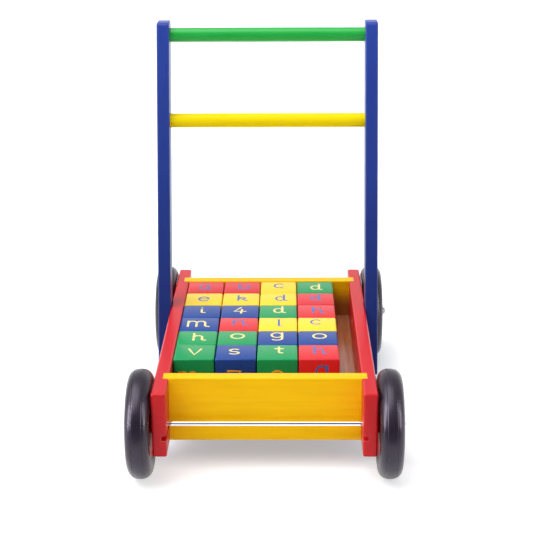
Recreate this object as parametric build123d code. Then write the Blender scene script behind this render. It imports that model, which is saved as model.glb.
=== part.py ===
from build123d import *
import os
from math import cos, radians, tan

# Baby walker: a push-along tray on four wheels with a leaning handle and a load of cube blocks.
# Millimetres. X runs across, the walker is pushed towards -Y, Z is up from the ground.
# The origin is on the ground under the middle of the wheelbase.

# Wheels and axles
wheel_radius = 61.6
wheelbase = 380.0
tyre_width = 27.0
tyre_seat_radius = 38.0
tyre_shoulder = 10.5
tyre_heel = 4.0
tyre_key_height = 2.5
tyre_key_width = 6.0
wheel_gap = 1.5
axle_radius = 2.75
axle_half_length = 156.3
axle_shift = {"front": -0.7, "rear": 1.5}
hub_web_outer = 4.0
hub_rim_depth = 12.0
hub_boss_radius = 11.0
hub_boss_inner = 13.5
hub_boss_outer = 12.1
hub_dish_radius = 32.0
washer_radius = 7.0
washer_thickness = {"inner": 1.2, "outer": 0.8}
washer_start = {"inner": 124.2, "outer": 151.3}
cap_start = 153.9
cap_flange_radius = 6.2
cap_flange_thickness = 1.0
cap_dome_radius = 4.1
cap_depth = 3.8
cap_wall = 1.1
cap_crown = 1.4

# Tray
tray_half_width = 124.0
board_thickness = 16.0
board_length = 446.0
axle_setback = 35.0
board_height = 75.1
board_top = 111.6
edge_rounding = 2.4
panel_thickness = 17.0
panel_front_setback = 45.5
tray_length = 330.2
dado_depth = 6.2
floor_depth = 48.3
floor_thickness = 7.2
floor_tongue_thickness = 5.6
floor_edge_gap = 0.3
floor_groove_depth = 6.0
panel_rounding = 1.2

# Handle
upright_thickness = 16.0
upright_depth = 31.0
upright_lean = 14.3
upright_front_at_board_top = 58.1
upright_top = 461.6
upright_bottom = 27.0
upright_top_rounding = 6.0
upright_bottom_rounding = 4.0
upright_rounding = 1.8
bar_radius = 9.0
bar_socket_depth = 8.0
bar_heights = {"grip_bar": 444.6, "cross_bar": 339.6}

# Blocks
block_size = 47.5
block_rounding = 2.2
block_row_pitch = 47.8
block_column_pitch = 48.5
block_side_gap = 0.5
block_rear_gap = 0.3
block_lift_gap = 0.2
block_rows = 6
block_columns = 4

# Fasteners
screw_radius = 2.0
screw_head_radius = 4.0
screw_head_depth = 2.4
screw_length = 38.0
screw_recess_radius = 1.2
screw_recess_depth = 1.2
panel_screw_heights = (46.0, 89.0)
bolt_radius = 3.0
bolt_length = 24.0
bolt_head_radius = 6.5
bolt_head_thickness = 2.2
nut_barrel_radius = 4.5
nut_length = 21.0
nut_blind_depth = 4.0
hex_socket_size = 4.0
hex_socket_depth = 1.4
bolt_heights = (92.0, 46.0)

# Clearances
fit_clearance = 0.05
running_clearance = 0.05
flush_depth = 0.2

lean_ratio = tan(radians(upright_lean))
tray_inner = tray_half_width - board_thickness
front_end = -wheelbase / 2 - axle_setback
board_bottom = board_top - board_height
front_panel_face = front_end + panel_front_setback
tray_front = front_panel_face + panel_thickness
tray_rear = tray_front + tray_length
floor_top = board_top - floor_depth
floor_bottom = floor_top - floor_thickness
tongue_top = floor_bottom + floor_tongue_thickness
wheel_centre = tray_half_width + wheel_gap + tyre_width / 2
upright_outer = tray_half_width + upright_thickness
sides = {"left": -1, "right": 1}
axle_places = {"front": -wheelbase / 2, "rear": wheelbase / 2}


def block_between(low, high):
    """A box between two corners."""
    size = [b - a for a, b in zip(low, high)]
    middle = [(a + b) / 2 for a, b in zip(low, high)]
    return Pos(*middle) * Box(*size)


def rod_along_x(x0, x1, y, z, radius):
    """A round bar along X from x0 to x1."""
    return Pos((x0 + x1) / 2, y, z) * Rot(0, 90, 0) * Cylinder(radius, abs(x1 - x0))


def upright_middle(z):
    """Y of the upright's centre line at height z."""
    half_slice = upright_depth / cos(radians(upright_lean)) / 2
    return upright_front_at_board_top + half_slice + lean_ratio * (z - board_top)


def panel_screw_places():
    """Y and Z of the screws that hold the two cross panels."""
    middles = (front_panel_face + panel_thickness / 2, tray_rear + panel_thickness / 2)
    return [(y, z) for y in middles for z in panel_screw_heights]


def screw(side, x_face, y, z, extra=0.0):
    """A countersunk screw whose head is just under the face at x_face; extra makes it a hole."""
    head_x = x_face - flush_depth
    tip_x = head_x - screw_length - extra
    shank = rod_along_x(head_x, tip_x, y, z, screw_radius + extra)
    cone = Cone(screw_radius + extra, screw_head_radius + extra, screw_head_depth)
    head = Pos(head_x - screw_head_depth / 2, y, z) * Rot(0, 90, 0) * cone
    body = shank + head
    if extra:
        body += rod_along_x(head_x, x_face + 1, y, z, screw_head_radius + extra)
    else:
        body -= rod_along_x(head_x - screw_recess_depth, head_x, y, z, screw_recess_radius)
    return body if side > 0 else mirror(body, about=Plane.YZ)


def connector_hole(y, z):
    """The stepped hole through upright and board for one bolt and its sleeve nut."""
    head = rod_along_x(upright_outer - bolt_head_thickness - flush_depth, upright_outer + 1,
                       y, z, bolt_head_radius + fit_clearance)
    flange = rod_along_x(tray_inner - 1, tray_inner + bolt_head_thickness + flush_depth,
                         y, z, bolt_head_radius + fit_clearance)
    through = rod_along_x(tray_inner, upright_outer, y, z, nut_barrel_radius + fit_clearance)
    return head + flange + through


def hex_socket(x, y, z, direction):
    """A hexagon recess that opens towards direction along X."""
    recess = extrude(RegularPolygon(hex_socket_size / 2, 6, major_radius=False), hex_socket_depth)
    return Pos(x, y, z) * Rot(0, -90 * direction, 0) * recess


def connector_bolt(y, z):
    """A flat-headed bolt that enters the upright from outside."""
    outer = upright_outer - flush_depth
    head = rod_along_x(outer - bolt_head_thickness, outer, y, z, bolt_head_radius)
    shank = rod_along_x(outer - bolt_length, outer - bolt_head_thickness, y, z, bolt_radius)
    return head + shank - hex_socket(outer, y, z, 1)


def sleeve_nut(y, z):
    """The flanged sleeve nut that takes the bolt from inside the tray."""
    inner = tray_inner + flush_depth
    flange = rod_along_x(inner, inner + bolt_head_thickness, y, z, bolt_head_radius)
    barrel = rod_along_x(inner, inner + nut_length, y, z, nut_barrel_radius)
    bore = rod_along_x(inner + nut_blind_depth, inner + nut_length, y, z, bolt_radius + fit_clearance)
    return flange + barrel - bore - hex_socket(inner, y, z, -1)


def connector_places():
    return [(upright_middle(z), z) for z in bolt_heights]


def side_board(side):
    """A side of the tray, grooved for the floor and housed for the cross panels."""
    board = block_between((tray_inner, front_end, board_bottom),
                          (tray_half_width, front_end + board_length, board_top))
    board = fillet(board.edges(), edge_rounding)
    board -= block_between((tray_inner - 1, front_end - 1, floor_bottom - fit_clearance),
                           (tray_inner + floor_groove_depth, front_end + board_length + 1,
                            tongue_top + fit_clearance))
    for y in (front_panel_face, tray_rear):
        board -= block_between((tray_inner - 1, y - fit_clearance, board_bottom - 1),
                               (tray_inner + dado_depth, y + panel_thickness + fit_clearance, board_top + 1))
    for place in axle_places.values():
        board -= rod_along_x(tray_inner - 1, tray_half_width + 1, place, wheel_radius,
                             axle_radius + fit_clearance)
    for y, z in connector_places():
        board -= connector_hole(y, z)
    if side < 0:
        board = mirror(board, about=Plane.YZ)
    for y, z in panel_screw_places():
        board -= screw(side, tray_half_width, y, z, fit_clearance)
    return board


def cross_panel(face_y, inner_y):
    """A cross panel; its tray side, at inner_y, is grooved for the floor."""
    half = tray_inner + dado_depth - fit_clearance
    panel = block_between((-half, face_y, board_bottom), (half, face_y + panel_thickness, board_top))
    panel = fillet(panel.edges().filter_by(Axis.X), panel_rounding)
    panel -= block_between((-half - 1, inner_y - dado_depth, floor_bottom - fit_clearance),
                           (half + 1, inner_y + dado_depth, tongue_top + fit_clearance))
    for side in sides.values():
        for y, z in panel_screw_places():
            panel -= screw(side, tray_half_width, y, z, fit_clearance)
    return panel


def tray_floor():
    """The floor, with a thinner tongue all round that sits in the grooves."""
    half = tray_inner + floor_groove_depth - 2 * fit_clearance
    reach = dado_depth - 2 * fit_clearance
    tongue = block_between((-half, tray_front - reach, floor_bottom), (half, tray_rear + reach, tongue_top))
    half = tray_inner - floor_edge_gap
    plate = block_between((-half, tray_front + floor_edge_gap, floor_bottom),
                          (half, tray_rear - floor_edge_gap, floor_top))
    return tongue + plate


def upright(side):
    """A leaning upright with level ends, bolted to the outside of its board."""
    half_slice = upright_depth / cos(radians(upright_lean)) / 2
    low, high = upright_middle(upright_bottom), upright_middle(upright_top)
    outline = Plane.YZ * Polygon((low - half_slice, upright_bottom), (low + half_slice, upright_bottom),
                                 (high + half_slice, upright_top), (high - half_slice, upright_top),
                                 align=None)
    corners = outline.vertices()
    outline = fillet(corners.filter_by(lambda v: v.Z > board_top), upright_top_rounding)
    outline = fillet(outline.vertices().filter_by(lambda v: v.Z < board_bottom), upright_bottom_rounding)
    post = Pos(tray_half_width, 0, 0) * extrude(outline, upright_thickness, dir=(1, 0, 0))
    flanks = post.faces().sort_by(Axis.X)
    post = fillet(flanks[0].edges() + flanks[-1].edges(), upright_rounding)
    for z in bar_heights.values():
        post -= rod_along_x(tray_half_width - 1, tray_half_width + bar_socket_depth,
                            upright_middle(z), z, bar_radius + fit_clearance)
        post -= screw(1, upright_outer, upright_middle(z), z, fit_clearance)
    for y, z in connector_places():
        post -= connector_hole(y, z)
    return post if side > 0 else mirror(post, about=Plane.YZ)


def round_bar(z):
    """A dowel between the uprights, drilled at both ends for its screws."""
    half = tray_half_width + bar_socket_depth - 2 * fit_clearance
    y = upright_middle(z)
    bar = rod_along_x(-half, half, y, z, bar_radius)
    bar = chamfer(bar.edges().filter_by(GeomType.CIRCLE), 0.6)
    for side in sides.values():
        bar -= screw(side, upright_outer, y, z, fit_clearance)
    return bar


def axle(name):
    shift = axle_shift[name]
    rod = rod_along_x(shift - axle_half_length, shift + axle_half_length,
                      axle_places[name], wheel_radius, axle_radius)
    return chamfer(rod.edges().filter_by(GeomType.CIRCLE), 0.5)


def spun(outline, x, y, side):
    """Turn an outline drawn as (radius, distance outward) round the wheel's axis at x, y."""
    solid = revolve(outline, axis=Axis.Y)
    turned = Rot(0, 0, -90) * solid
    turned = turned if side > 0 else mirror(turned, about=Plane.YZ)
    return Pos(x, y, wheel_radius) * turned


def tyre(x, y, side):
    """A solid rubber tyre with round shoulders and a keyed seat."""
    half = tyre_width / 2
    middle = (tyre_seat_radius + wheel_radius) / 2
    section = Pos(middle, 0) * Rectangle(wheel_radius - tyre_seat_radius, tyre_width)
    section = fillet(section.vertices().filter_by(lambda v: v.X > middle), tyre_shoulder)
    heels = section.vertices().filter_by(lambda v: v.X < middle and abs(v.Y) > half - 0.1)
    section = fillet(heels, tyre_heel)
    key = tyre_key_height + fit_clearance
    key_slot = Rectangle(2 * key, tyre_key_width + 2 * fit_clearance)
    section -= Pos(tyre_seat_radius, 0) * key_slot
    return spun(section, x, y, side)


def hub(x, y, side):
    """A moulded hub: rim with a key for the tyre, dished web and centre boss."""
    rim = tyre_seat_radius - fit_clearance
    outline = Polygon(
        (axle_radius + running_clearance, -hub_boss_inner), (hub_boss_radius, -hub_boss_inner),
        (hub_boss_radius + 1, -hub_rim_depth + 1), (rim - 4, -hub_rim_depth + 1),
        (rim - 3, -hub_rim_depth), (rim, -hub_rim_depth),
        (rim, -tyre_key_width / 2), (rim + tyre_key_height, -tyre_key_width / 2),
        (rim + tyre_key_height, tyre_key_width / 2), (rim, tyre_key_width / 2),
        (rim, hub_rim_depth), (hub_dish_radius + 2.5, hub_rim_depth), (hub_dish_radius, hub_web_outer),
        (hub_boss_radius + 3, hub_web_outer), (hub_boss_radius, hub_boss_outer),
        (axle_radius + running_clearance, hub_boss_outer), align=None)
    return spun(outline, x, y, side)


def washer(kind, axle_name, side):
    """A washer on an axle, beside the board or under the cap."""
    x0 = washer_start[kind] * side
    x1 = (washer_start[kind] + washer_thickness[kind]) * side
    y = axle_places[axle_name]
    disc = rod_along_x(x0, x1, y, wheel_radius, washer_radius)
    return disc - rod_along_x(x0 - side, x1 + side, y, wheel_radius, axle_radius + fit_clearance)


def axle_cap(axle_name, side):
    """A domed push-on cap on an axle's end."""
    bore = axle_radius + fit_clearance
    outline = Polygon(
        (0, cap_depth), (0, cap_depth - cap_wall), (bore, cap_depth - cap_wall),
        (bore, 0), (cap_flange_radius, 0),
        (cap_flange_radius, cap_flange_thickness), (cap_dome_radius, cap_flange_thickness),
        (cap_dome_radius, cap_depth), align=None)
    crown = outline.vertices().filter_by(lambda v: v.X > cap_dome_radius - 0.1 and v.Y > cap_depth - 0.1)
    outline = fillet(crown, cap_crown)
    x = cap_start * side + axle_shift[axle_name]
    return spun(outline, x, axle_places[axle_name], side)


def cube_block(row, column):
    """A wooden cube block; row 1 is nearest the handle, column 1 is on the left."""
    x = -tray_inner + block_side_gap + block_size / 2 + (column - 1) * block_column_pitch
    y = tray_rear - block_rear_gap - block_size / 2 - (row - 1) * block_row_pitch
    z = floor_top + block_lift_gap + block_size / 2
    cube = Pos(x, y, z) * Box(block_size, block_size, block_size)
    return fillet(cube.edges(), block_rounding)


def gather(solids):
    return Compound(children=list(solids))


def write(name, shape):
    export_step(shape, f"parts/{name}.step")


def main():
    os.makedirs("parts", exist_ok=True)
    for name, side in sides.items():
        write(f"side_board_{name}", side_board(side))
        write(f"upright_{name}", upright(side))
    write("front_panel", cross_panel(front_panel_face, tray_front))
    write("rear_panel", cross_panel(tray_rear, tray_rear))
    write("tray_floor", tray_floor())
    for name, z in bar_heights.items():
        write(name, round_bar(z))
    for axle_name, y in axle_places.items():
        write(f"{axle_name}_axle", axle(axle_name))
        for side_name, side in sides.items():
            corner = f"{axle_name}_{side_name}"
            write(f"tyre_{corner}", tyre(side * wheel_centre, y, side))
            write(f"hub_{corner}", hub(side * wheel_centre, y, side))
            write(f"axle_cap_{corner}", axle_cap(axle_name, side))
    for kind in washer_start:
        write(f"{kind}_washers", gather([washer(kind, a, s) for a in axle_places for s in sides.values()]))
    bolts = [connector_bolt(y, z) for y, z in connector_places()]
    nuts = [sleeve_nut(y, z) for y, z in connector_places()]
    write("upright_bolts", gather(bolts + [mirror(b, about=Plane.YZ) for b in bolts]))
    write("upright_nuts", gather(nuts + [mirror(n, about=Plane.YZ) for n in nuts]))
    write("panel_screws", gather([screw(s, tray_half_width, y, z)
                                  for s in sides.values() for y, z in panel_screw_places()]))
    write("bar_screws", gather([screw(s, upright_outer, upright_middle(z), z)
                                for s in sides.values() for z in bar_heights.values()]))
    for row in range(1, block_rows + 1):
        for column in range(1, block_columns + 1):
            write(f"block_{row}_{column}", cube_block(row, column))


main()
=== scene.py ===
from math import cos, sin, pi, radians
import bpy
import bmesh
from mathutils import Matrix, Vector


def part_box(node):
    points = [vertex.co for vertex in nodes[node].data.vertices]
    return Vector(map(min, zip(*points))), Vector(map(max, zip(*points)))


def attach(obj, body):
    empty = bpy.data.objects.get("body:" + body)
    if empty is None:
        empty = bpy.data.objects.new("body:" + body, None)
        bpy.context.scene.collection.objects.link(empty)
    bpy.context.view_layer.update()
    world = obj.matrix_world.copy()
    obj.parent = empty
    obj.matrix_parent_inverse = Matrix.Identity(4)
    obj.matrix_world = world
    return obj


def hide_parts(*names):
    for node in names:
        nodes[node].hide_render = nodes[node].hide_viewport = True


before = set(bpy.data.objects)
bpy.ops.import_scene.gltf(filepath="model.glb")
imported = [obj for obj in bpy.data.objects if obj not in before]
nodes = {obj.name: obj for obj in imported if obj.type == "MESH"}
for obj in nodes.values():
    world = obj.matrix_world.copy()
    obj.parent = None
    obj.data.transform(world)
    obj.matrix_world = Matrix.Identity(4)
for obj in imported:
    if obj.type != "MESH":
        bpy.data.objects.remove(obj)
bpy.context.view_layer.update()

scene = bpy.context.scene
sideSigns = {"left": -1, "right": 1}
corners = [(axle, side) for axle in ("front", "rear") for side in sideSigns]

# every wheel has the same size and stands at the same distances from the middle of the walker
lowTyre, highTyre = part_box("tyre_front_right")
wheel = {"radius": (highTyre.z - lowTyre.z) / 2, "middle": (lowTyre.x + highTyre.x) / 2,
         "axleY": abs(lowTyre.y + highTyre.y) / 2}
print("frame loaded:", len(nodes), "nodes")


def finishMesh(name, bm, material, smoothAngle=35):
    mesh = bpy.data.meshes.new(name)
    bm.to_mesh(mesh)
    bm.free()
    mesh.materials.append(material)
    piece = bpy.data.objects.new(name, mesh)
    scene.collection.objects.link(piece)
    mesh.polygons.foreach_set("use_smooth", [True] * len(mesh.polygons))
    mesh.set_sharp_from_angle(angle=radians(smoothAngle))
    return piece


def spinProfile(bm, points, steps, closed=True):
    # points are (radius, distance along the axle), and the axle is X
    verts = [bm.verts.new((along, 0, radius)) for radius, along in points]
    edges = [bm.edges.new((a, b)) for a, b in zip(verts, verts[1:])]
    if closed:
        edges.append(bm.edges.new((verts[-1], verts[0])))
    bmesh.ops.spin(bm, geom=verts + edges, cent=(0, 0, 0), axis=(1, 0, 0), angle=2 * pi,
                   steps=steps, use_merge=True, use_duplicate=False)
    bmesh.ops.remove_doubles(bm, verts=bm.verts, dist=1e-6)
    bmesh.ops.recalc_face_normals(bm, faces=bm.faces)


def setDown(bm, spot, side="right"):
    # a shape for the left is mirrored before it is moved to its spot
    if side == "left":
        bmesh.ops.scale(bm, vec=(-1, 1, 1), verts=bm.verts)
        bmesh.ops.reverse_faces(bm, faces=bm.faces)
    bmesh.ops.translate(bm, vec=spot, verts=bm.verts)


def middleOf(node):
    low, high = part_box(node)
    return (low + high) / 2


def feed(tree, socket, value):
    # another node's socket is linked, and anything else is set as the socket's own value
    if isinstance(value, bpy.types.NodeSocket):
        tree.links.new(value, socket)
    else:
        socket.default_value = value


def addNode(tree, kind, settings=None, **sockets):
    node = tree.nodes.new(kind)
    for key, value in (settings or {}).items():
        setattr(node, key, value)
    for key, value in sockets.items():
        feed(tree, node.inputs[key.replace("_", " ")], value)
    return node


def calc(tree, operation, *values):
    node = addNode(tree, "ShaderNodeMath", {"operation": operation})
    for socket, value in zip(node.inputs, values):
        feed(tree, socket, value)
    return node.outputs[0]


def swing(tree, noiseValue, amount):
    # a noise between 0 and 1 turned into a change up or down
    return calc(tree, "MULTIPLY", calc(tree, "SUBTRACT", noiseValue, 0.5), amount)


def climb(tree, value, start, span):
    # start where the value is 0, and start + span where it is 1
    return calc(tree, "ADD", start, calc(tree, "MULTIPLY", value, span))


def remap(tree, value, source=(0.0, 1.0), target=(0.0, 1.0), smooth=False):
    kind = {"interpolation_type": "SMOOTHSTEP" if smooth else "LINEAR"}
    return addNode(tree, "ShaderNodeMapRange", kind, Value=value, From_Min=source[0], From_Max=source[1],
                   To_Min=target[0], To_Max=target[1]).outputs["Result"]


def objectPlace(tree):
    return addNode(tree, "ShaderNodeTexCoord").outputs["Object"]


def splitAxes(tree, vector):
    return addNode(tree, "ShaderNodeSeparateXYZ", Vector=vector).outputs


def stretched(tree, vector, scale):
    return addNode(tree, "ShaderNodeMapping", Vector=vector, Scale=scale).outputs["Vector"]


def noise(tree, vector, scale, detail, **more):
    node = addNode(tree, "ShaderNodeTexNoise", Vector=vector, Scale=scale, Detail=detail, **more)
    return node.outputs["Fac"]


def tinted(tree, colour, value):
    return addNode(tree, "ShaderNodeHueSaturation", Color=colour, Value=value).outputs["Color"]


def mixColours(tree, share, first, second):
    mix = addNode(tree, "ShaderNodeMix", {"data_type": "RGBA"}, Factor=share)
    feed(tree, mix.inputs[6], first)
    feed(tree, mix.inputs[7], second)
    return mix.outputs[2]


def setRamp(ramp, stops):
    for element, (position, colour) in zip(ramp.elements, stops):
        element.position = position
        element.color = colour


def addBump(tree, height, strength, distance):
    bump = addNode(tree, "ShaderNodeBump", Strength=strength, Distance=distance, Height=height)
    return bump.outputs["Normal"]


def startGroup(name, inputs, outputs):
    group = bpy.data.node_groups.new(name, "ShaderNodeTree")
    for label, kind, value in inputs:
        socket = group.interface.new_socket(name=label, in_out="INPUT", socket_type="NodeSocket" + kind)
        if value is not None:
            socket.default_value = value
    for label, kind in outputs:
        group.interface.new_socket(name=label, in_out="OUTPUT", socket_type="NodeSocket" + kind)
    return group, group.nodes.new("NodeGroupInput").outputs, group.nodes.new("NodeGroupOutput").inputs


def useGroup(tree, group, **sockets):
    return addNode(tree, "ShaderNodeGroup", {"node_tree": group}, **sockets).outputs


def startMaterial(name, **shaderValues):
    material = bpy.data.materials.new(name)
    material.use_nodes = True
    tree = material.node_tree
    shader = tree.nodes["Principled BSDF"]
    for key, value in shaderValues.items():
        shader.inputs[key.replace("_", " ")].default_value = value
    return material, tree, shader.inputs


coatLook = {"gloss": 0.30, "glossSwing": 0.12, "cloudScale": 21.0, "skinScale": 1400.0, "skinHeight": 0.03,
            "poreScale": 5.0, "poreShare": 0.5, "bump": 0.5, "bumpDepth": 0.0006}
wearAndHighlightLook = {"width": 0.0012, "samples": 6, "patchScale": 160.0, "patchLeast": 0.35, "turn": (0.01, 0.14)}


def makeWoodPaint():
    # paint over wood: soft mottling, faint grain showing through, a fine sprayed skin
    group, given, result = startGroup(
        "woodPaint",
        [("Vector", "Vector", None), ("Paint", "Color", (0.5, 0.5, 0.5, 1)), ("Grain", "Float", 0.1),
         ("Mottle", "Float", 0.05), ("Gloss", "Float", 0.3)],
        [("Colour", "Color"), ("Roughness", "Float"), ("Height", "Float")])
    place = objectPlace(group)
    streak = noise(group, given["Vector"], 1.0, 5.0, Roughness=0.62, Distortion=0.35)
    pores = noise(group, given["Vector"], coatLook["poreScale"], 2.0)
    cloud = noise(group, place, coatLook["cloudScale"], 3.0)
    skin = noise(group, place, coatLook["skinScale"], 1.0)
    change = calc(group, "ADD", swing(group, streak, given["Grain"]), swing(group, cloud, given["Mottle"]))
    group.links.new(tinted(group, given["Paint"], calc(group, "ADD", change, 1.0)), result["Colour"])
    gloss = calc(group, "ADD", given["Gloss"], swing(group, cloud, coatLook["glossSwing"]))
    group.links.new(gloss, result["Roughness"])
    poreHeight = calc(group, "MULTIPLY", given["Grain"], coatLook["poreShare"])
    relief = calc(group, "ADD", calc(group, "MULTIPLY", streak, given["Grain"]),
                  calc(group, "MULTIPLY", pores, poreHeight))
    height = calc(group, "ADD", relief, calc(group, "MULTIPLY", skin, coatLook["skinHeight"]))
    group.links.new(height, result["Height"])
    return group


def makeEdgeWearAndHighlight():
    # tints the arrises: partly wear, where paint lies thin and hands touch them, and partly a painted
    # highlight along their rounding
    group, given, result = startGroup(
        "edgeWearAndHighlight",
        [("Colour", "Color", (0.5, 0.5, 0.5, 1)), ("Worn", "Color", (0.7, 0.7, 0.7, 1)),
         ("Width", "Float", 0.0012), ("Amount", "Float", 0.3)],
        [("Colour", "Color"), ("Mask", "Float")])
    rounded = addNode(group, "ShaderNodeBevel", {"samples": wearAndHighlightLook["samples"]}, Radius=given["Width"])
    flat = addNode(group, "ShaderNodeNewGeometry")
    match = addNode(group, "ShaderNodeVectorMath", {"operation": "DOT_PRODUCT"})
    group.links.new(rounded.outputs["Normal"], match.inputs[0])
    group.links.new(flat.outputs["Normal"], match.inputs[1])
    bend = calc(group, "SUBTRACT", 1.0, match.outputs["Value"])
    patchy = noise(group, objectPlace(group), wearAndHighlightLook["patchScale"], 4.0)
    patchyBend = calc(group, "MULTIPLY", bend, calc(group, "ADD", patchy, wearAndHighlightLook["patchLeast"]))
    mask = calc(group, "MULTIPLY", remap(group, patchyBend, wearAndHighlightLook["turn"], smooth=True), given["Amount"])
    group.links.new(mixColours(group, mask, given["Colour"], given["Worn"]), result["Colour"])
    group.links.new(mask, result["Mask"])
    return group


woodPaint = makeWoodPaint()
edgeWearAndHighlight = makeEdgeWearAndHighlight()

# the long way of the grain, as (turn about X, stretch along X, Y, Z)
grains = {"across": (0, (9, 170, 170)), "along": (0, (170, 9, 170)),
          "leaning": (radians(14.3), (170, 170, 9))}
# bend is the paint's index of refraction; worn is the colour of the arrises and rub how strongly they take
# it, partly wear and partly a painted highlight
paints = {
    "red": {"colour": (0.62, 0.012, 0.017), "wornAndLit": (0.82, 0.16, 0.17), "grain": 0.16, "mottle": 0.10,
            "bend": 1.30, "rubAndLit": 0.8},
    "yellow": {"colour": (0.98, 0.55, 0.002), "wornAndLit": (0.99, 0.66, 0.003), "grain": 0.34, "mottle": 0.08,
               "bend": 1.16, "rubAndLit": 0.35},
    "bar yellow": {"colour": (0.99, 0.76, 0.001), "wornAndLit": (0.98, 0.82, 0.01), "grain": 0.08, "mottle": 0.05,
                   "bend": 1.20, "rubAndLit": 0.35},
    "blue": {"colour": (0.020, 0.046, 0.27), "wornAndLit": (0.06, 0.10, 0.38), "grain": 0.24, "mottle": 0.14,
             "bend": 1.30, "rubAndLit": 0.35},
    "green": {"colour": (0.012, 0.46, 0.060), "wornAndLit": (0.08, 0.52, 0.16), "grain": 0.14, "mottle": 0.10,
              "bend": 1.46, "rubAndLit": 0.35},
    "block red": {"colour": (0.74, 0.014, 0.022), "wornAndLit": (1.0, 0.010, 0.012), "grain": 0.18, "mottle": 0.12,
                  "bend": 1.40, "rubAndLit": 0.8},
    "block yellow": {"colour": (0.99, 0.70, 0.008), "wornAndLit": (1.0, 0.66, 0.001), "grain": 0.14, "mottle": 0.08,
                     "bend": 1.40, "rubAndLit": 0.8},
    "block blue": {"colour": (0.006, 0.056, 0.30), "wornAndLit": (0.010, 0.075, 0.42), "grain": 0.26,
                   "mottle": 0.12, "bend": 1.36, "rubAndLit": 0.8},
    "block green": {"colour": (0.002, 0.33, 0.095), "wornAndLit": (0.004, 0.40, 0.10), "grain": 0.22,
                    "mottle": 0.12, "bend": 1.37, "rubAndLit": 0.8},
    "letter cream": {"colour": (0.88, 0.74, 0.28), "wornAndLit": (0.90, 0.78, 0.36), "grain": 0.08, "mottle": 0.10,
                     "bend": 1.35, "rubAndLit": 0.35},
    "letter blue": {"colour": (0.050, 0.13, 0.44), "wornAndLit": (0.14, 0.20, 0.50), "grain": 0.12, "mottle": 0.14,
                    "bend": 1.35, "rubAndLit": 0.35},
    "letter orange": {"colour": (0.95, 0.38, 0.014), "wornAndLit": (0.95, 0.48, 0.05), "grain": 0.10,
                      "mottle": 0.10, "bend": 1.35, "rubAndLit": 0.35},
}
# painted shade: the uprights' blue is painted darker near the ground and lighter near the top, standing for
# how light falls along them
uprightPaintedShade = {"heights": (0.11, 0.46), "values": (0.70, 1.36)}
made = {}


def paint(kind, grain="across"):
    name = kind.replace(" ", "_") + "_" + grain
    if name in made:
        return made[name]
    look = paints[kind]
    material, tree, shader = startMaterial(name, IOR=look["bend"])
    turn, stretch = grains[grain]
    place = objectPlace(tree)
    turned = addNode(tree, "ShaderNodeMapping", Vector=place, Rotation=(turn, 0, 0)).outputs["Vector"]
    coat = useGroup(tree, woodPaint, Vector=stretched(tree, turned, stretch), Paint=(*look["colour"], 1),
                    Grain=look["grain"], Mottle=look["mottle"], Gloss=coatLook["gloss"])
    # the edge colour is partly wear and partly a painted highlight
    wornAndLitEdges = useGroup(tree, edgeWearAndHighlight, Colour=coat["Colour"], Worn=(*look["wornAndLit"], 1),
                      Width=wearAndHighlightLook["width"], Amount=look["rubAndLit"])
    colour = wornAndLitEdges["Colour"]
    # painted shade along the uprights' height
    if grain == "leaning":  # the uprights deepen towards the ground
        height = splitAxes(tree, place)["Z"]
        colour = tinted(tree, colour, remap(tree, height, uprightPaintedShade["heights"], uprightPaintedShade["values"]))
    tree.links.new(colour, shader["Base Color"])
    tree.links.new(coat["Roughness"], shader["Roughness"])
    tree.links.new(addBump(tree, coat["Height"], coatLook["bump"], coatLook["bumpDepth"]), shader["Normal"])
    made[name] = material
    return material


# painted shade: heights are above the tray floor, and skin is how deep into the panel the brown reaches
trayPaintedShade = {"brown": (0.40, 0.13, 0.035, 1), "heights": (0.040, 0.012), "most": 0.96, "skin": 0.0006}


def yellowWithPaintedShade():
    # the rear panel: its tray side is painted brown towards the bottom, a painted shade for the dim light low
    # in the tray
    material = paint("yellow", "across").copy()
    material.name = "yellow_painted_shade"
    tree = material.node_tree
    baseColour = tree.nodes["Principled BSDF"].inputs["Base Color"]
    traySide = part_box("rear_panel")[0].y + trayPaintedShade["skin"]
    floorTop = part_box("tray_floor")[1].z
    spot = splitAxes(tree, objectPlace(tree))
    heights = [floorTop + height for height in trayPaintedShade["heights"]]
    depth = remap(tree, spot["Z"], heights, (0.0, trayPaintedShade["most"]), smooth=True)
    mask = calc(tree, "MULTIPLY", depth, calc(tree, "LESS_THAN", spot["Y"], traySide))
    yellow = baseColour.links[0].from_socket
    tree.links.new(mixColours(tree, mask, yellow, trayPaintedShade["brown"]), baseColour)
    return material


plywoodLook = {"dark": (0.30, (0.33, 0.100, 0.039, 1)), "light": (0.72, (0.75, 0.32, 0.16, 1)),
               "grain": (120, 5, 120), "ringScale": 0.8, "poreScale": 9.0, "poreShade": (0.86, 0.28),
               "gloss": (0.14, 0.26), "bend": 1.5, "bump": 0.12, "bumpDepth": 0.0003}


def makePlywood():
    look = plywoodLook
    material, tree, shader = startMaterial("plywood", IOR=look["bend"])
    run = stretched(tree, objectPlace(tree), look["grain"])
    rings = noise(tree, run, look["ringScale"], 6.0, Roughness=0.65, Distortion=0.8)
    pores = noise(tree, run, look["poreScale"], 2.0)
    ramp = addNode(tree, "ShaderNodeValToRGB", Fac=rings)
    setRamp(ramp.color_ramp, (look["dark"], look["light"]))
    tint = tinted(tree, ramp.outputs["Color"], climb(tree, pores, *look["poreShade"]))
    tree.links.new(tint, shader["Base Color"])
    tree.links.new(remap(tree, pores, target=look["gloss"]), shader["Roughness"])
    height = calc(tree, "ADD", rings, pores)
    tree.links.new(addBump(tree, height, look["bump"], look["bumpDepth"]), shader["Normal"])
    return material


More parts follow.
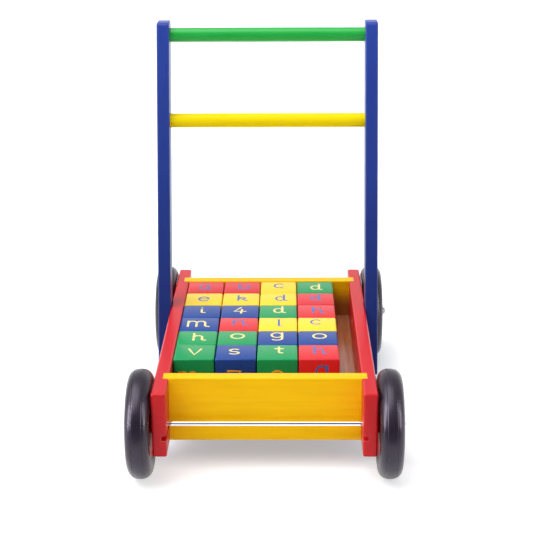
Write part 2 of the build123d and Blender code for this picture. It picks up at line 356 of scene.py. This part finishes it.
def wheelCoordinates(tree):
    # the same on every wheel: how far out along the axle from its middle, and how far from the axle
    place = objectPlace(tree)
    spot = splitAxes(tree, place)
    along = calc(tree, "SUBTRACT", calc(tree, "ABSOLUTE", spot["X"]), wheel["middle"])
    fore = calc(tree, "SUBTRACT", calc(tree, "ABSOLUTE", spot["Y"]), wheel["axleY"])
    up = calc(tree, "SUBTRACT", spot["Z"], wheel["radius"])
    squares = calc(tree, "ADD", calc(tree, "MULTIPLY", fore, fore), calc(tree, "MULTIPLY", up, up))
    return {"place": place, "along": along, "reach": calc(tree, "SQRT", squares)}


rubberLook = {"clean": (0.005, 0.004, 0.007, 1), "dusty": (0.030, 0.022, 0.038, 1),
              "sheen": (0.90, 0.80, 1.0, 1), "gloss": (0.22, 0.36), "treadDepth": 0.006,
              "lineScale": 1100.0, "bloomScale": 38.0, "speckScale": 900.0, "speckHeight": 0.35,
              "bump": 0.35, "bumpDepth": 0.0004}


def makeRubber():
    look = rubberLook
    material, tree, shader = startMaterial("tyreRubber", Specular_Tint=look["sheen"])
    spot = wheelCoordinates(tree)
    lines = addNode(tree, "ShaderNodeTexNoise", {"noise_dimensions": "1D"}, W=spot["along"],
                    Scale=look["lineScale"], Detail=2.0).outputs["Fac"]
    bloom = noise(tree, spot["place"], look["bloomScale"], 5.0, Roughness=0.6)
    speck = noise(tree, spot["place"], look["speckScale"], 2.0)
    treadFrom = wheel["radius"] - look["treadDepth"]
    tread = remap(tree, spot["reach"], (treadFrom, wheel["radius"]), smooth=True)
    dust = calc(tree, "MULTIPLY", climb(tree, tread, 0.5, 0.5), bloom)
    tree.links.new(mixColours(tree, dust, look["clean"], look["dusty"]), shader["Base Color"])
    tree.links.new(remap(tree, bloom, (0.3, 0.7), look["gloss"]), shader["Roughness"])
    height = calc(tree, "ADD", lines, calc(tree, "MULTIPLY", speck, look["speckHeight"]))
    tree.links.new(addBump(tree, height, look["bump"], look["bumpDepth"]), shader["Normal"])
    return material


hubLook = {"colour": (0.66, 0.020, 0.018, 1), "cloudShade": (0.92, 0.16), "gloss": (0.34, 0.46), "bend": 1.3,
           "cloudScale": 45.0, "skinScale": 1600.0, "skinHeight": 0.4, "ringScale": 260.0, "ringHeight": 0.15,
           "bump": 0.2, "bumpDepth": 0.0002}


def makeHubPlastic():
    look = hubLook
    material, tree, shader = startMaterial("hubPlastic", IOR=look["bend"])
    spot = wheelCoordinates(tree)
    cloud = noise(tree, spot["place"], look["cloudScale"], 3.0)
    skin = noise(tree, spot["place"], look["skinScale"], 1.0)
    outward = addNode(tree, "ShaderNodeCombineXYZ", X=spot["reach"]).outputs["Vector"]
    rings = addNode(tree, "ShaderNodeTexWave", {"bands_direction": "X", "wave_type": "BANDS"},
                    Vector=outward, Scale=look["ringScale"]).outputs["Fac"]
    tint = tinted(tree, look["colour"], climb(tree, cloud, *look["cloudShade"]))
    tree.links.new(tint, shader["Base Color"])
    tree.links.new(remap(tree, cloud, target=look["gloss"]), shader["Roughness"])
    height = calc(tree, "ADD", calc(tree, "MULTIPLY", skin, look["skinHeight"]),
                  calc(tree, "MULTIPLY", rings, look["ringHeight"]))
    tree.links.new(addBump(tree, height, look["bump"], look["bumpDepth"]), shader["Normal"])
    return material


metalLooks = {
    "brightRod": {"colour": (0.86, 0.87, 0.90, 1), "polish": 0.04, "scratch": 0.06},
    "capMetal": {"colour": (0.34, 0.30, 0.31, 1), "polish": 0.05, "scratch": 0.06},
    "zincSteel": {"colour": (0.60, 0.60, 0.58, 1), "polish": 0.26, "scratch": 0.30},
}
metalSkin = {"drawn": (60, 2600, 2600), "cloudScale": 70.0, "cloudShade": (0.93, 0.14), "glossSpan": 0.05,
             "bumpDepth": 0.0002}


def makeMetal(name):
    # steel with fine lines drawn along X, as the axles are
    look = metalLooks[name]
    material, tree, shader = startMaterial(name, Metallic=1.0)
    place = objectPlace(tree)
    lines = noise(tree, stretched(tree, place, metalSkin["drawn"]), 1.0, 3.0)
    cloud = noise(tree, place, metalSkin["cloudScale"], 4.0)
    tint = tinted(tree, look["colour"], climb(tree, cloud, *metalSkin["cloudShade"]))
    tree.links.new(tint, shader["Base Color"])
    gloss = (look["polish"], look["polish"] + metalSkin["glossSpan"])
    tree.links.new(remap(tree, cloud, target=gloss), shader["Roughness"])
    tree.links.new(addBump(tree, lines, look["scratch"], metalSkin["bumpDepth"]), shader["Normal"])
    return material


plywood = makePlywood()
rubber = makeRubber()
hubPlastic = makeHubPlastic()
chrome = makeMetal("brightRod")
capMetal = makeMetal("capMetal")
zinc = makeMetal("zincSteel")
print("materials made")


def finishNode(name, material):
    # a CAD node that keeps its shape
    for socket in nodes[name].material_slots:
        socket.material = material


for side in sideSigns:
    finishNode("side_board_" + side, paint("red", "along"))
    finishNode("upright_" + side, paint("blue", "leaning"))
finishNode("front_panel", paint("yellow", "across"))
finishNode("rear_panel", yellowWithPaintedShade())
finishNode("cross_bar", paint("bar yellow", "across"))
finishNode("grip_bar", paint("green", "across"))
finishNode("tray_floor", plywood)
for name in ("front_axle", "rear_axle"):
    finishNode(name, chrome)
for name in ("inner_washers", "outer_washers", "upright_bolts", "upright_nuts", "panel_screws", "bar_screws"):
    finishNode(name, zinc)
print("CAD nodes finished")


# flank holds (radius, how far in from the tyre's side), from the shoulder down to the hub
tyreShape = {"seat": 0.0381, "bead": 0.0112, "beadLip": (0.0400, 0.0002),
             "flank": [(0.0440, 0.0004), (0.0412, 0.0012)],
             "widest": 0.0490, "squareness": 2.25, "crownPoints": 34,
             "grooves": (-0.0058, 0.0058), "grooveWidth": 0.0008, "grooveDepth": 0.0003, "steps": 128}


def crownRadius(x, half):
    lift = (1 - min(1, abs(x) / half) ** tyreShape["squareness"]) ** (1 / tyreShape["squareness"])
    return tyreShape["widest"] + lift * (wheel["radius"] - tyreShape["widest"])


def crownOutline(half):
    # the round crown from side to side, with its two fine grooves
    count, width = tyreShape["crownPoints"], tyreShape["grooveWidth"]
    stations = [(-half * cos(pi * k / count), 0) for k in range(count + 1)]
    for groove in tyreShape["grooves"]:
        stations = [s for s in stations if abs(s[0] - groove) > width]
        stations += [(groove - width / 2, 0), (groove - width / 4, tyreShape["grooveDepth"]),
                     (groove + width / 4, tyreShape["grooveDepth"]), (groove + width / 2, 0)]
    return [(crownRadius(x, half) - cut, x) for x, cut in sorted(stations)]


def makeTyre(axle, side):
    node = "tyre_" + axle + "_" + side
    low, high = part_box(node)
    half = (high.x - low.x) / 2
    lipRadius, lipOut = tyreShape["beadLip"]
    flank = [(radius, half - inset) for radius, inset in tyreShape["flank"]]
    flank += [(lipRadius, tyreShape["bead"] + lipOut), (tyreShape["seat"], tyreShape["bead"])]
    outline = crownOutline(half) + flank + [(radius, -along) for radius, along in reversed(flank)]
    bm = bmesh.new()
    spinProfile(bm, outline, tyreShape["steps"])
    setDown(bm, middleOf(node))
    piece = finishMesh("rubber_" + axle + "_" + side, bm, rubber, smoothAngle=50)
    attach(piece, "wheel_" + axle + "_" + side)
    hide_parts(node)


# the two faces hold (radius, distance out along the axle from the wheel's middle), and corners sharper than
# roundFrom, in degrees, are rounded
hubShape = {
    "bore": 0.0028, "boss": 0.0105, "bossEdge": 0.0011, "bossTips": (0.0092, 0.0102),
    "innerFace": [(0.0112, -0.0109), (0.0340, -0.0109), (0.0350, -0.0117), (0.0374, -0.0117),
                  (0.0380, -0.0110)],
    "outerFace": [(0.0380, 0.0112), (0.0372, 0.0120), (0.0352, 0.0120), (0.0338, 0.0108), (0.0318, 0.0046),
                  (0.0302, 0.0038), (0.0246, 0.0038), (0.0238, 0.0046), (0.0222, 0.0046), (0.0214, 0.0038),
                  (0.0150, 0.0038), (0.0128, 0.0046), (0.0112, 0.0104)],
    "steps": 96, "round": 0.0005, "roundFrom": 28}


def makeHub(axle, side):
    node = "hub_" + axle + "_" + side
    low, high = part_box("hub_front_right")
    inner, outer = low.x - wheel["middle"], high.x - wheel["middle"]
    innerTip, outerTip = hubShape["bossTips"]
    outline = [(hubShape["bore"], inner), (innerTip, inner), (hubShape["boss"], inner + hubShape["bossEdge"])]
    outline += hubShape["innerFace"] + hubShape["outerFace"]
    outline += [(outerTip, outer), (hubShape["bore"], outer)]
    bm = bmesh.new()
    spinProfile(bm, outline, hubShape["steps"])
    setDown(bm, (wheel["middle"] * sideSigns[side], middleOf(node).y, wheel["radius"]), side)
    piece = finishMesh("wheel_centre_" + axle + "_" + side, bm, hubPlastic, smoothAngle=30)
    soften = piece.modifiers.new("soften", "BEVEL")
    soften.width = hubShape["round"]
    soften.segments = 2
    soften.limit_method = "ANGLE"
    soften.angle_limit = radians(hubShape["roundFrom"])
    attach(piece, "wheel_" + axle + "_" + side)
    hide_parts(node)


# brim holds (radius, distance from the cap's flat face), from the hole in that face to the foot of the dome
capShape = {"brim": [(0.0030, 0.0), (0.0058, 0.0), (0.0062, 0.0004), (0.0059, 0.0008),
                     (0.0047, 0.0010), (0.0042, 0.0014)],
            "dome": 0.0041, "domeFrom": 0.0016, "steps": 48, "arcPoints": 9}


def makeCap(axle, side):
    node = "axle_cap_" + axle + "_" + side
    low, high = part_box(node)
    domeFrom = capShape["domeFrom"]
    domeHeight = high.x - low.x - domeFrom
    outline = list(capShape["brim"])
    for k in range(capShape["arcPoints"] + 1):
        angle = pi / 2 * k / capShape["arcPoints"]
        outline.append((capShape["dome"] * cos(angle), domeFrom + domeHeight * sin(angle)))
    bm = bmesh.new()
    spinProfile(bm, outline, capShape["steps"], closed=False)
    bmesh.ops.holes_fill(bm, edges=[e for e in bm.edges if e.is_boundary], sides=0)
    bmesh.ops.recalc_face_normals(bm, faces=bm.faces)
    flatFace = low.x if side == "right" else high.x
    setDown(bm, (flatFace, middleOf(node).y, wheel["radius"]), side)
    piece = finishMesh("push_cap_" + axle + "_" + side, bm, capMetal, smoothAngle=40)
    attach(piece, "chassis")
    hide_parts(node)


for axle, side in corners:
    makeTyre(axle, side)
    makeHub(axle, side)
    makeCap(axle, side)
print("wheels made")


# rows run from the handle to the front, and each row from the left, seen from the front
blockShape = {
    "edge": 0.0022, "edgeSteps": 4, "rows": ["rryg", "yyyr", "bbgr", "bryy", "ggbb", "gbgr"],
    "paints": {"r": "red", "y": "yellow", "b": "blue", "g": "green"}, "grains": ("across", "along")}
# shifts are how far a letter is printed off centre, in millimetres to the right and up its face;
# sizes are the width and height of a letter in millimetres, over its strokes
letterShape = {
    "stroke": 0.0027, "proud": 0.0001, "tipReach": (0.9, 0.55), "tipWidths": (0.35, 0.80),
    "rows": ["abcd", "ekdd", "i4dh", "mnlc", "hogo", "vsth"],
    "shifts": [[(0, 0), (3, 3), (0, 6), (2, 2)], [(0, 0), (2, 4), (4, 5), (1, 6)],
               [(2, 4), (0, 3), (2, 6), (3, 5)], [(-1, 1), (2, 6), (3, 4), (-2, 7)],
               [(3, 3), (0, 5), (-1, 4), (2, 5)], [(0, 0), (-2, 1), (2, 6), (2, 5)]],
    "front": "mzog", "frontShifts": [(-4, -2), (-1, -0.7), (0, 1), (3, 2.6)],
    "paints": {"r": "letter blue", "y": "letter blue", "b": "letter cream", "g": "letter cream"},
    "sizes": {"a": (17, 20.5), "b": (16, 24), "c": (13.5, 18.5), "d": (17, 25.5), "e": (15, 19),
              "g": (15.5, 28), "h": (17, 26), "i": (7, 21), "k": (14, 23), "l": (6.5, 26), "m": (29, 22),
              "n": (19.5, 20.5), "o": (18, 18.5), "s": (13, 18.5), "t": (12, 22), "v": (17, 21.5),
              "z": (18, 22), "4": (17.5, 24.5)}}


def arc(cx, cy, rx, ry, start, end, steps=14):
    sweep = [radians(start + (end - start) * k / steps) for k in range(steps + 1)]
    return [(cx + rx * cos(a), cy + ry * sin(a)) for a in sweep]


def flick(x):
    # the short tail that ends a downstroke on the line
    return arc(x + 0.20, 0.20, 0.20, 0.20, 180, 290, 7)


def arch(left, right):
    middle, reach = (left + right) / 2, (right - left) / 2
    return arc(middle, 0.62, reach, 0.38, 180, 0, 10)


def strokesOf(letter):
    # the line is at 0 and the top of a small letter at 1
    bowl = arc(0, 0.5, 0.37, 0.5, 0, 360, 24)
    strokes = {
        "a": [bowl, [(0.37, 1.0), (0.37, 0.6)] + flick(0.37)],
        "b": [bowl, [(-0.37, 1.50), (-0.37, 0.0)]],
        "c": [arc(0.05, 0.5, 0.42, 0.5, 48, 312, 18)],
        "d": [bowl, [(0.37, 1.50), (0.37, 0.6)] + flick(0.37)],
        "e": [[(-0.38, 0.52), (0.38, 0.52)] + arc(0, 0.5, 0.40, 0.5, 8, 318, 20)],
        "g": [bowl, [(0.37, 1.0), (0.37, 0.0)] + arc(0.0, -0.20, 0.37, 0.36, 0, -140, 12)],
        "h": [[(-0.36, 1.50), (-0.36, 0.0)], [(-0.36, 0.45)] + arch(-0.36, 0.28) + flick(0.28)],
        "i": [[(0.0, 1.0), (0.0, 0.6)] + flick(0.0), [(0.0, 1.42), (0.0, 1.48)]],
        "k": [[(-0.34, 1.50), (-0.34, 0.0)], [(-0.34, 0.50)] + arc(-0.04, 0.72, 0.28, 0.24, 110, -90, 9)
              + [(-0.20, 0.48)], [(-0.06, 0.48), (0.22, 0.08), (0.40, 0.0)]],
        "l": [[(0.0, 1.50), (0.0, 0.6)] + flick(0.0)],
        "m": [[(-0.62, 1.0), (-0.62, 0.0)], [(-0.62, 0.45)] + arch(-0.62, -0.08) + [(-0.08, 0.0)],
              [(-0.08, 0.45)] + arch(-0.08, 0.46) + flick(0.46)],
        "n": [[(-0.36, 1.0), (-0.36, 0.0)], [(-0.36, 0.45)] + arch(-0.36, 0.28) + flick(0.28)],
        "o": [bowl],
        "s": [arc(0.02, 0.75, 0.30, 0.25, 40, 262, 12) + arc(-0.02, 0.25, 0.32, 0.25, 82, -140, 12)],
        "t": [[(-0.02, 1.45), (-0.02, 0.6)] + flick(-0.02), [(-0.32, 1.02), (0.30, 1.02)]],
        "v": [[(-0.38, 1.0), (0.0, 0.0), (0.38, 1.0)]],
        "z": [[(-0.36, 1.0), (0.36, 1.0), (-0.36, 0.0), (0.38, 0.0)]],
        "4": [[(0.08, 1.45), (-0.42, 0.48), (0.44, 0.48)], [(0.16, 0.95), (0.10, 0.0)]],
    }
    return strokes[letter]


def addStroke(curve, path, thick):
    # an open stroke gets two more points at each end, where its round tip narrows
    closed = (path[0] - path[-1]).length < 1e-6
    tipWidths = []
    if closed:
        path = path[:-1]
    else:
        far, near = letterShape["tipReach"]
        head = (path[0] - path[1]).normalized() * thick
        tail = (path[-1] - path[-2]).normalized() * thick
        path = [path[0] + head * far, path[0] + head * near, *path,
                path[-1] + tail * near, path[-1] + tail * far]
        tipWidths = letterShape["tipWidths"]
    spline = curve.splines.new("POLY")
    spline.points.add(len(path) - 1)
    spline.use_cyclic_u = closed
    for point, spot in zip(spline.points, path):
        point.co = (*spot, 1)
    for k, share in enumerate(tipWidths):
        spline.points[k].radius = share
        spline.points[-1 - k].radius = share


def letterMesh(letter):
    # round strokes drawn as a curve, pressed nearly flat and centred on the origin
    thick = letterShape["stroke"] / 2
    strokes = strokesOf(letter)
    points = [point for stroke in strokes for point in stroke]
    spans = [max(p[i] for p in points) - min(p[i] for p in points) for i in (0, 1)]
    wide, tall = [(size / 1000 - 2 * thick) / span for size, span in zip(letterShape["sizes"][letter], spans)]
    curve = bpy.data.curves.new("strokes", "CURVE")
    curve.dimensions = "3D"
    curve.bevel_depth = thick
    curve.bevel_resolution = 2
    curve.use_fill_caps = True
    for stroke in strokes:
        addStroke(curve, [Vector((x * wide, y * tall, 0)) for x, y in stroke], thick)
    holder = bpy.data.objects.new("strokes", curve)
    scene.collection.objects.link(holder)
    mesh = bpy.data.meshes.new_from_object(holder.evaluated_get(bpy.context.evaluated_depsgraph_get()))
    bpy.data.objects.remove(holder)
    low = [min(v.co[i] for v in mesh.vertices) for i in (0, 1)]
    high = [max(v.co[i] for v in mesh.vertices) for i in (0, 1)]
    mesh.transform(Matrix.Translation((-(low[0] + high[0]) / 2, -(low[1] + high[1]) / 2, 0)))
    mesh.transform(Matrix.Diagonal((1, 1, letterShape["proud"] / thick, 1)))
    return mesh


# each face of a block as (outward, up)
blockFaces = {"top": ((0, 0, 1), (0, 1, 0)), "front": ((0, -1, 0), (0, 0, 1)),
              "back": ((0, 1, 0), (0, 0, 1)), "left": ((-1, 0, 0), (0, 0, 1)),
              "right": ((1, 0, 0), (0, 0, 1)), "bottom": ((0, 0, -1), (0, -1, 0))}
glyphMeshes = {letter: letterMesh(letter) for letter in letterShape["sizes"]}


def faceMatrix(face, middle, half, shift):
    outward, up = (Vector(v) for v in blockFaces[face])
    right = up.cross(outward)
    turn = Matrix((right, up, outward)).transposed().to_4x4()
    offset = right * (shift[0] / 1000) + up * (shift[1] / 1000)
    return Matrix.Translation(middle + outward * half + offset) @ turn


def addLetters(name, body, glyphs, middle, half, kind):
    bm = bmesh.new()
    for face, (letter, shift) in glyphs.items():
        mesh = glyphMeshes[letter].copy()
        mesh.transform(faceMatrix(face, middle, half, shift))
        bm.from_mesh(mesh)
    piece = finishMesh(name, bm, paint(kind), smoothAngle=60)
    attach(piece, body)


def glyphsOf(row, column):
    # the top's letter is given, and the other faces take letters from all over the alphabet in turn
    spare = sorted(glyphMeshes)
    glyphs = {"top": (letterShape["rows"][row][column], letterShape["shifts"][row][column])}
    for k, face in enumerate(("back", "left", "right", "bottom", "front")):
        glyphs[face] = (spare[(5 * k + 4 * row + 3 * column) % len(spare)], (0, 0))
    return glyphs


def makeBlock(row, column):
    spot = "%d_%d" % (row + 1, column + 1)
    node = "block_" + spot
    low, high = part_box(node)
    size, middle = high - low, (low + high) / 2
    tone = blockShape["rows"][row][column]
    bm = bmesh.new()
    bmesh.ops.create_cube(bm, size=1.0)
    bmesh.ops.scale(bm, vec=size, verts=bm.verts)
    bmesh.ops.bevel(bm, geom=bm.edges[:], offset=blockShape["edge"], segments=blockShape["edgeSteps"],
                    affect="EDGES", profile=0.5, material=-1)
    setDown(bm, middle)
    grain = blockShape["grains"][(row + column) % 2]
    coat = paint("block " + blockShape["paints"][tone], grain)
    piece = finishMesh("cube_" + spot, bm, coat, smoothAngle=50)
    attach(piece, node)
    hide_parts(node)
    glyphs = glyphsOf(row, column)
    if row == len(blockShape["rows"]) - 1:
        # the front row's fronts show above the front panel and have a paint of their own
        del glyphs["front"]
        front = {"front": (letterShape["front"][column], letterShape["frontShifts"][column])}
        kind = "letter blue" if tone == "r" else "letter orange"
        addLetters("front_letter_%d" % (column + 1), node, front, middle, size.x / 2, kind)
    addLetters("letters_" + spot, node, glyphs, middle, size.x / 2, letterShape["paints"][tone])


for row in range(len(blockShape["rows"])):
    for column in range(len(blockShape["rows"][row])):
        makeBlock(row, column)
print("blocks made")


# in reflections only, the floor fades to a painted dark reflection across darkReflectionSpan; the glow is
# painted light, full ahead of glowAhead and outside glowAside, and lower and cooler under the walker as a
# painted shadow
floorShape = {"size": 16.0, "darkReflectionSpan": (-0.52, -0.36), "darkReflectionShare": 0.93, "white": 0.66, "bounce": 0.78,
              "colour": (0.97, 1.0, 1.02, 1), "cloudShade": (0.99, 0.02), "underGlow": 0.35, "openGlow": 0.60,
              "underShadowTint": (0.92, 1.02, 1.07, 1), "openTint": (1, 1, 1, 1),
              "glowAhead": (-0.125, -0.185), "glowAside": (0.12, 0.20)}


def makeFloor():
    # a white table whose glow is painted light, lower and more coolly tinted under the walker as a painted
    # shadow, so that shadows stay pale and neutral; the walker is lit by a whiter table, and reflections see
    # the table painted dark a little way in front, a painted dark reflection
    look = floorShape
    bm = bmesh.new()
    bmesh.ops.create_grid(bm, x_segments=2, y_segments=2, size=look["size"] / 2)
    material, tree, shader = startMaterial("paleFloor", Roughness=0.9, Specular_IOR_Level=0.0)
    place = objectPlace(tree)
    spot = splitAxes(tree, place)
    rays = addNode(tree, "ShaderNodeLightPath").outputs
    # painted dark reflection: glossy rays see the floor darken ahead of the walker
    table = remap(tree, spot["Y"], look["darkReflectionSpan"], smooth=True)
    darkInReflection = calc(tree, "MULTIPLY", rays["Is Glossy Ray"], calc(tree, "SUBTRACT", 1.0, table))
    notDarkened = calc(tree, "SUBTRACT", 1.0, calc(tree, "MULTIPLY", darkInReflection, look["darkReflectionShare"]))
    cloud = noise(tree, place, 1.5, 2.0)
    tone = calc(tree, "MULTIPLY", notDarkened, climb(tree, cloud, *look["cloudShade"]))
    white = remap(tree, rays["Is Diffuse Ray"], target=(look["white"], look["bounce"]))
    tree.links.new(tinted(tree, look["colour"], calc(tree, "MULTIPLY", tone, white)), shader["Base Color"])
    # painted shadow: the glow is lower and cooler under the walker
    ahead = remap(tree, spot["Y"], look["glowAhead"], smooth=True)
    aside = remap(tree, calc(tree, "ABSOLUTE", spot["X"]), look["glowAside"], smooth=True)
    outside = calc(tree, "MAXIMUM", ahead, aside)
    tree.links.new(mixColours(tree, outside, look["underShadowTint"], look["openTint"]), shader["Emission Color"])
    seen = calc(tree, "MULTIPLY", calc(tree, "SUBTRACT", 1.0, rays["Is Diffuse Ray"]), notDarkened)
    glow = remap(tree, outside, target=(look["underGlow"], look["openGlow"]))
    tree.links.new(calc(tree, "MULTIPLY", seen, glow), shader["Emission Strength"])
    finishMesh("studio_floor", bm, material)


sideBox = {"out": 1.9, "place": (-0.85, 0.9), "aimOut": 0.14, "aim": (-0.19, 0.08), "size": (0.28, 1.6),
           "powers": {-1: 52.0, 1: 28.0}}


def makeSideBox(sign):
    # a tall soft box that shows only in reflections
    data = bpy.data.lights.new("side_box", "AREA")
    data.shape = "RECTANGLE"
    data.size, data.size_y = sideBox["size"]
    data.energy = sideBox["powers"][sign]
    light = bpy.data.objects.new("side_box", data)
    place = Vector((sideBox["out"] * sign, *sideBox["place"]))
    aim = Vector((sideBox["aimOut"] * sign, *sideBox["aim"]))
    light.location = place
    light.rotation_euler = (aim - place).to_track_quat("-Z", "Y").to_euler()
    light.visible_diffuse = False
    scene.collection.objects.link(light)


# dome stops are (height, colour); keyAngles are how far from keyToward the key light fades out and is full
skyShape = {"dome": [(0.10, (1.00, 0.98, 1.00, 1)), (0.85, (0.58, 0.58, 0.59, 1))],
            "frontSlope": 0.75, "frontFade": (-0.10, 0.40), "frontFill": (0.41, 0.41, 0.41, 1),
            "frontSeen": (0.016, 0.020, 0.065, 1),
            "keyToward": (-0.40, -0.12, 0.91), "keyAngles": (38, 18), "keyPower": 3.5}


def makeSky():
    # a white dome that greys overhead, a front that is dim grey as light and dark in reflections, and one
    # broad soft key light above; the camera itself sees plain white
    look = skyShape
    world = bpy.data.worlds.new("studio")
    world.use_nodes = True
    scene.world = world
    tree = world.node_tree
    tree.nodes.clear()
    ray = addNode(tree, "ShaderNodeTexCoord").outputs["Generated"]
    spot = splitAxes(tree, ray)
    dome = addNode(tree, "ShaderNodeValToRGB", Fac=spot["Z"])
    dome.color_ramp.interpolation = "EASE"
    setRamp(dome.color_ramp, look["dome"])
    low = calc(tree, "SUBTRACT", calc(tree, "MULTIPLY", spot["Y"], -1.0),
               calc(tree, "MULTIPLY", spot["Z"], look["frontSlope"]))
    front = remap(tree, low, look["frontFade"], smooth=True)
    rays = addNode(tree, "ShaderNodeLightPath").outputs
    frontColour = mixColours(tree, rays["Is Glossy Ray"], look["frontFill"], look["frontSeen"])
    around = mixColours(tree, front, dome.outputs["Color"], frontColour)
    facing = addNode(tree, "ShaderNodeVectorMath", {"operation": "DOT_PRODUCT"})
    tree.links.new(ray, facing.inputs[0])
    facing.inputs[1].default_value = Vector(look["keyToward"]).normalized()
    keyEdges = [cos(radians(angle)) for angle in look["keyAngles"]]
    key = remap(tree, facing.outputs["Value"], keyEdges, (0.0, look["keyPower"]), smooth=True)
    total = addNode(tree, "ShaderNodeVectorMath", {"operation": "ADD"})
    tree.links.new(around, total.inputs[0])
    tree.links.new(key, total.inputs[1])
    lit = addNode(tree, "ShaderNodeBackground", Color=total.outputs["Vector"], Strength=1.0)
    seen = addNode(tree, "ShaderNodeBackground", Color=(1, 1, 1, 1), Strength=1.0)
    mix = addNode(tree, "ShaderNodeMixShader", Fac=rays["Is Camera Ray"])
    tree.links.new(lit.outputs[0], mix.inputs[1])
    tree.links.new(seen.outputs[0], mix.inputs[2])
    out = tree.nodes.new("ShaderNodeOutputWorld")
    tree.links.new(mix.outputs[0], out.inputs["Surface"])


# the camera looks along +Y, a little down and hardly turned; angles are in degrees
view = {"place": (0.0259, -1.6428, 0.7074), "down": 17.76, "turn": 0.77, "roll": -0.32,
        "lens": 94.16, "sensor": 36}


def makeCamera():
    data = bpy.data.cameras.new("camera")
    data.lens = view["lens"]
    data.sensor_width = view["sensor"]
    camera = bpy.data.objects.new("camera", data)
    turned = Matrix.Rotation(radians(view["turn"]), 4, "Z")
    tipped = Matrix.Rotation(radians(90 - view["down"]), 4, "X")
    rolled = Matrix.Rotation(radians(view["roll"]), 4, "Z")
    camera.matrix_world = Matrix.Translation(view["place"]) @ turned @ tipped @ rolled
    scene.collection.objects.link(camera)
    scene.camera = camera


makeFloor()
makeSky()
for sign in sideBox["powers"]:
    makeSideBox(sign)
makeCamera()
scene.view_settings.view_transform = "Standard"
print("studio ready")
